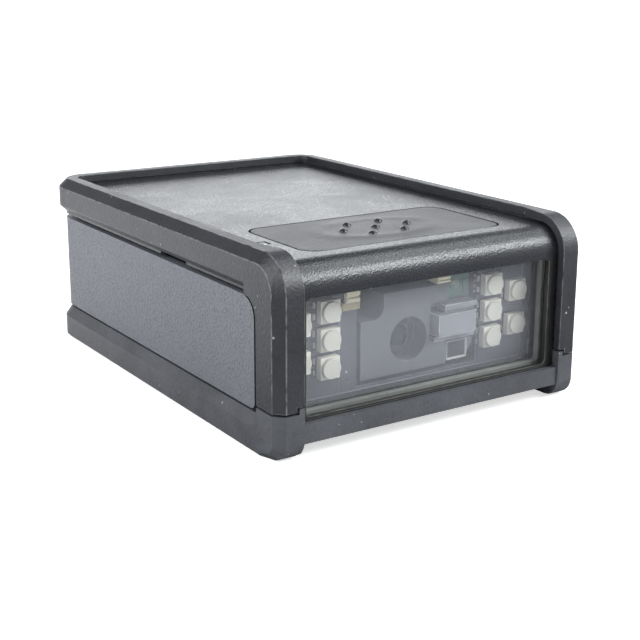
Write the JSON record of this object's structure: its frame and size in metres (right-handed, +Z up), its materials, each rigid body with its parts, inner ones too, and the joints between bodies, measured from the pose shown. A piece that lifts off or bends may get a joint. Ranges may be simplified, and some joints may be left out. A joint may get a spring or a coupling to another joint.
{
  "type": "fixed barcode reader",
  "caption": "Small box-shaped fixed barcode reader with a wide front window, lamp board and imager behind it, a trigger pad on top, rubber bumpers and a rear cable socket.",
  "frame": {"origin": "centre of the footprint, on the surface the reader stands on", "axes": "+Y from the window to the cable socket, +Z up from the underside to the trigger pad, +X to the right as seen from the window side"},
  "size_m": [0.05, 0.071, 0.026],
  "materials": {
    "case_grey": "satin grained",
    "case_dark": "fine textured",
    "bumper_rubber": "satin",
    "pad_rubber": "smooth satin",
    "clear_window": "clear coated",
    "seal_grey": "matte",
    "frosted_light": "frosted",
    "board_dark": "solder mask",
    "board_green": "solder mask",
    "lamp_cream": "moulded",
    "imager_grey": "matte",
    "lens_black": "matte",
    "chip_black": "moulded",
    "screw_steel": "plain",
    "insert_brass": "plain",
    "contact_gilt": "gilt",
    "flex_amber": "film"
  },
  "bodies": {
    "reader": {"upper_bumper": "bumper_rubber", "lower_boot": "bumper_rubber", "top_cover": "case_grey", "bottom_tub": "case_dark", "window_pane": "clear_window", "window_seal": "seal_grey", "trigger_switch": "chip_black", "button_board": "board_green", "button_board_screw_1": "screw_steel", "button_board_screw_2": "screw_steel", "status_lamp": "frosted_light", "status_light_pipe": "frosted_light", "illumination_board": "board_dark", "lamp_left_1": "lamp_cream", "lamp_left_2": "lamp_cream", "lamp_left_3": "lamp_cream", "lamp_left_4": "lamp_cream", "lamp_left_5": "lamp_cream", "lamp_right_1": "lamp_cream", "lamp_right_2": "lamp_cream", "lamp_right_3": "lamp_cream", "lamp_right_4": "lamp_cream", "lamp_right_5": "lamp_cream", "illumination_connector": "contact_gilt", "imager_holder": "imager_grey", "imager_screw_1": "screw_steel", "imager_screw_2": "screw_steel", "lens_barrel": "lens_black", "front_lens": "clear_window", "image_sensor": "chip_black", "sensor_board": "board_green", "aimer_lens": "clear_window", "aimer_lamp": "frosted_light", "light_sensor": "lamp_cream", "sensor_connector": "lamp_cream", "main_board": "board_green", "main_board_screw_1": "screw_steel", "main_board_screw_2": "screw_steel", "decoder_chip": "chip_black", "beeper": "chip_black", "imager_plug": "lamp_cream", "main_board_plug": "lamp_cream", "engine_flex": "flex_amber", "cable_jack": "chip_black", "jack_contacts": "contact_gilt", "case_screw_1": "screw_steel", "case_screw_2": "screw_steel", "case_screw_3": "screw_steel", "case_screw_4": "screw_steel", "mounting_insert_1": "insert_brass", "mounting_insert_2": "insert_brass"},
    "trigger": {"trigger_pad": "pad_rubber", "switch_plunger": "frosted_light"}
  },
  "joints": [
    {"name": "trigger_press", "type": "slide", "parent": "reader", "child": "trigger", "axis": [0, 0, -1], "range_m": [0, 0.0003], "stiffness_N_per_m": 4000, "springref_m": -0.0001}
  ]
}
